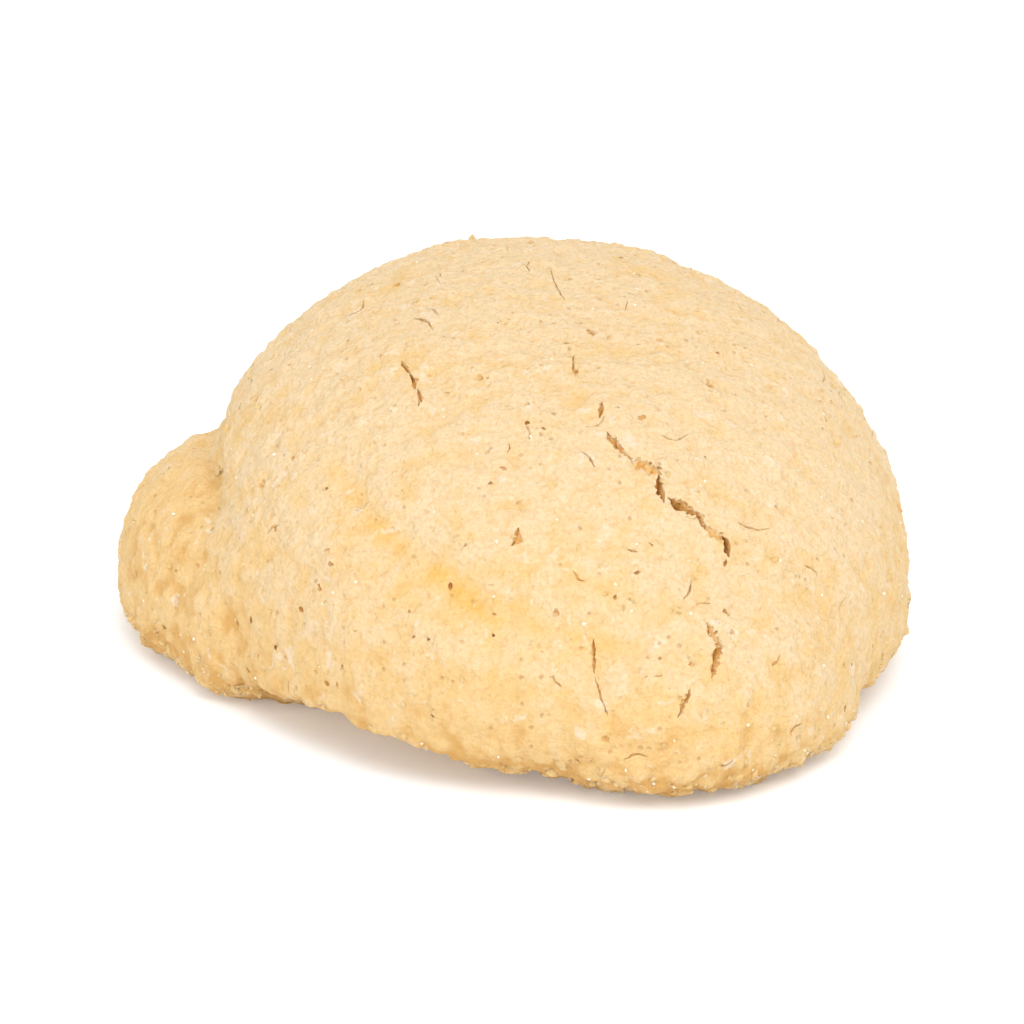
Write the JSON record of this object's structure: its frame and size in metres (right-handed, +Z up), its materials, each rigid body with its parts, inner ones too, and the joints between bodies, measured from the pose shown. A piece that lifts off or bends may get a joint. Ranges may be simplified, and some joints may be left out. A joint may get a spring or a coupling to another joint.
{
  "type": "shortbread biscuit",
  "caption": "Plump domed shortbread biscuit with a smaller lobe run into one side, a soft crease, short cracks, pits and a crumbly rim, lying on its flat base.",
  "frame": {"origin": "on the flat base, under the middle of the biscuit's box", "axes": "+Z up from the base, -Y towards the shown side, +X to the right of it, so the lobe is at -X"},
  "size_m": [0.055, 0.062, 0.0258],
  "materials": {
    "dough": "matt baked dough"
  },
  "bodies": {
    "root": {"biscuit": "dough"}
  },
  "joints": []
}
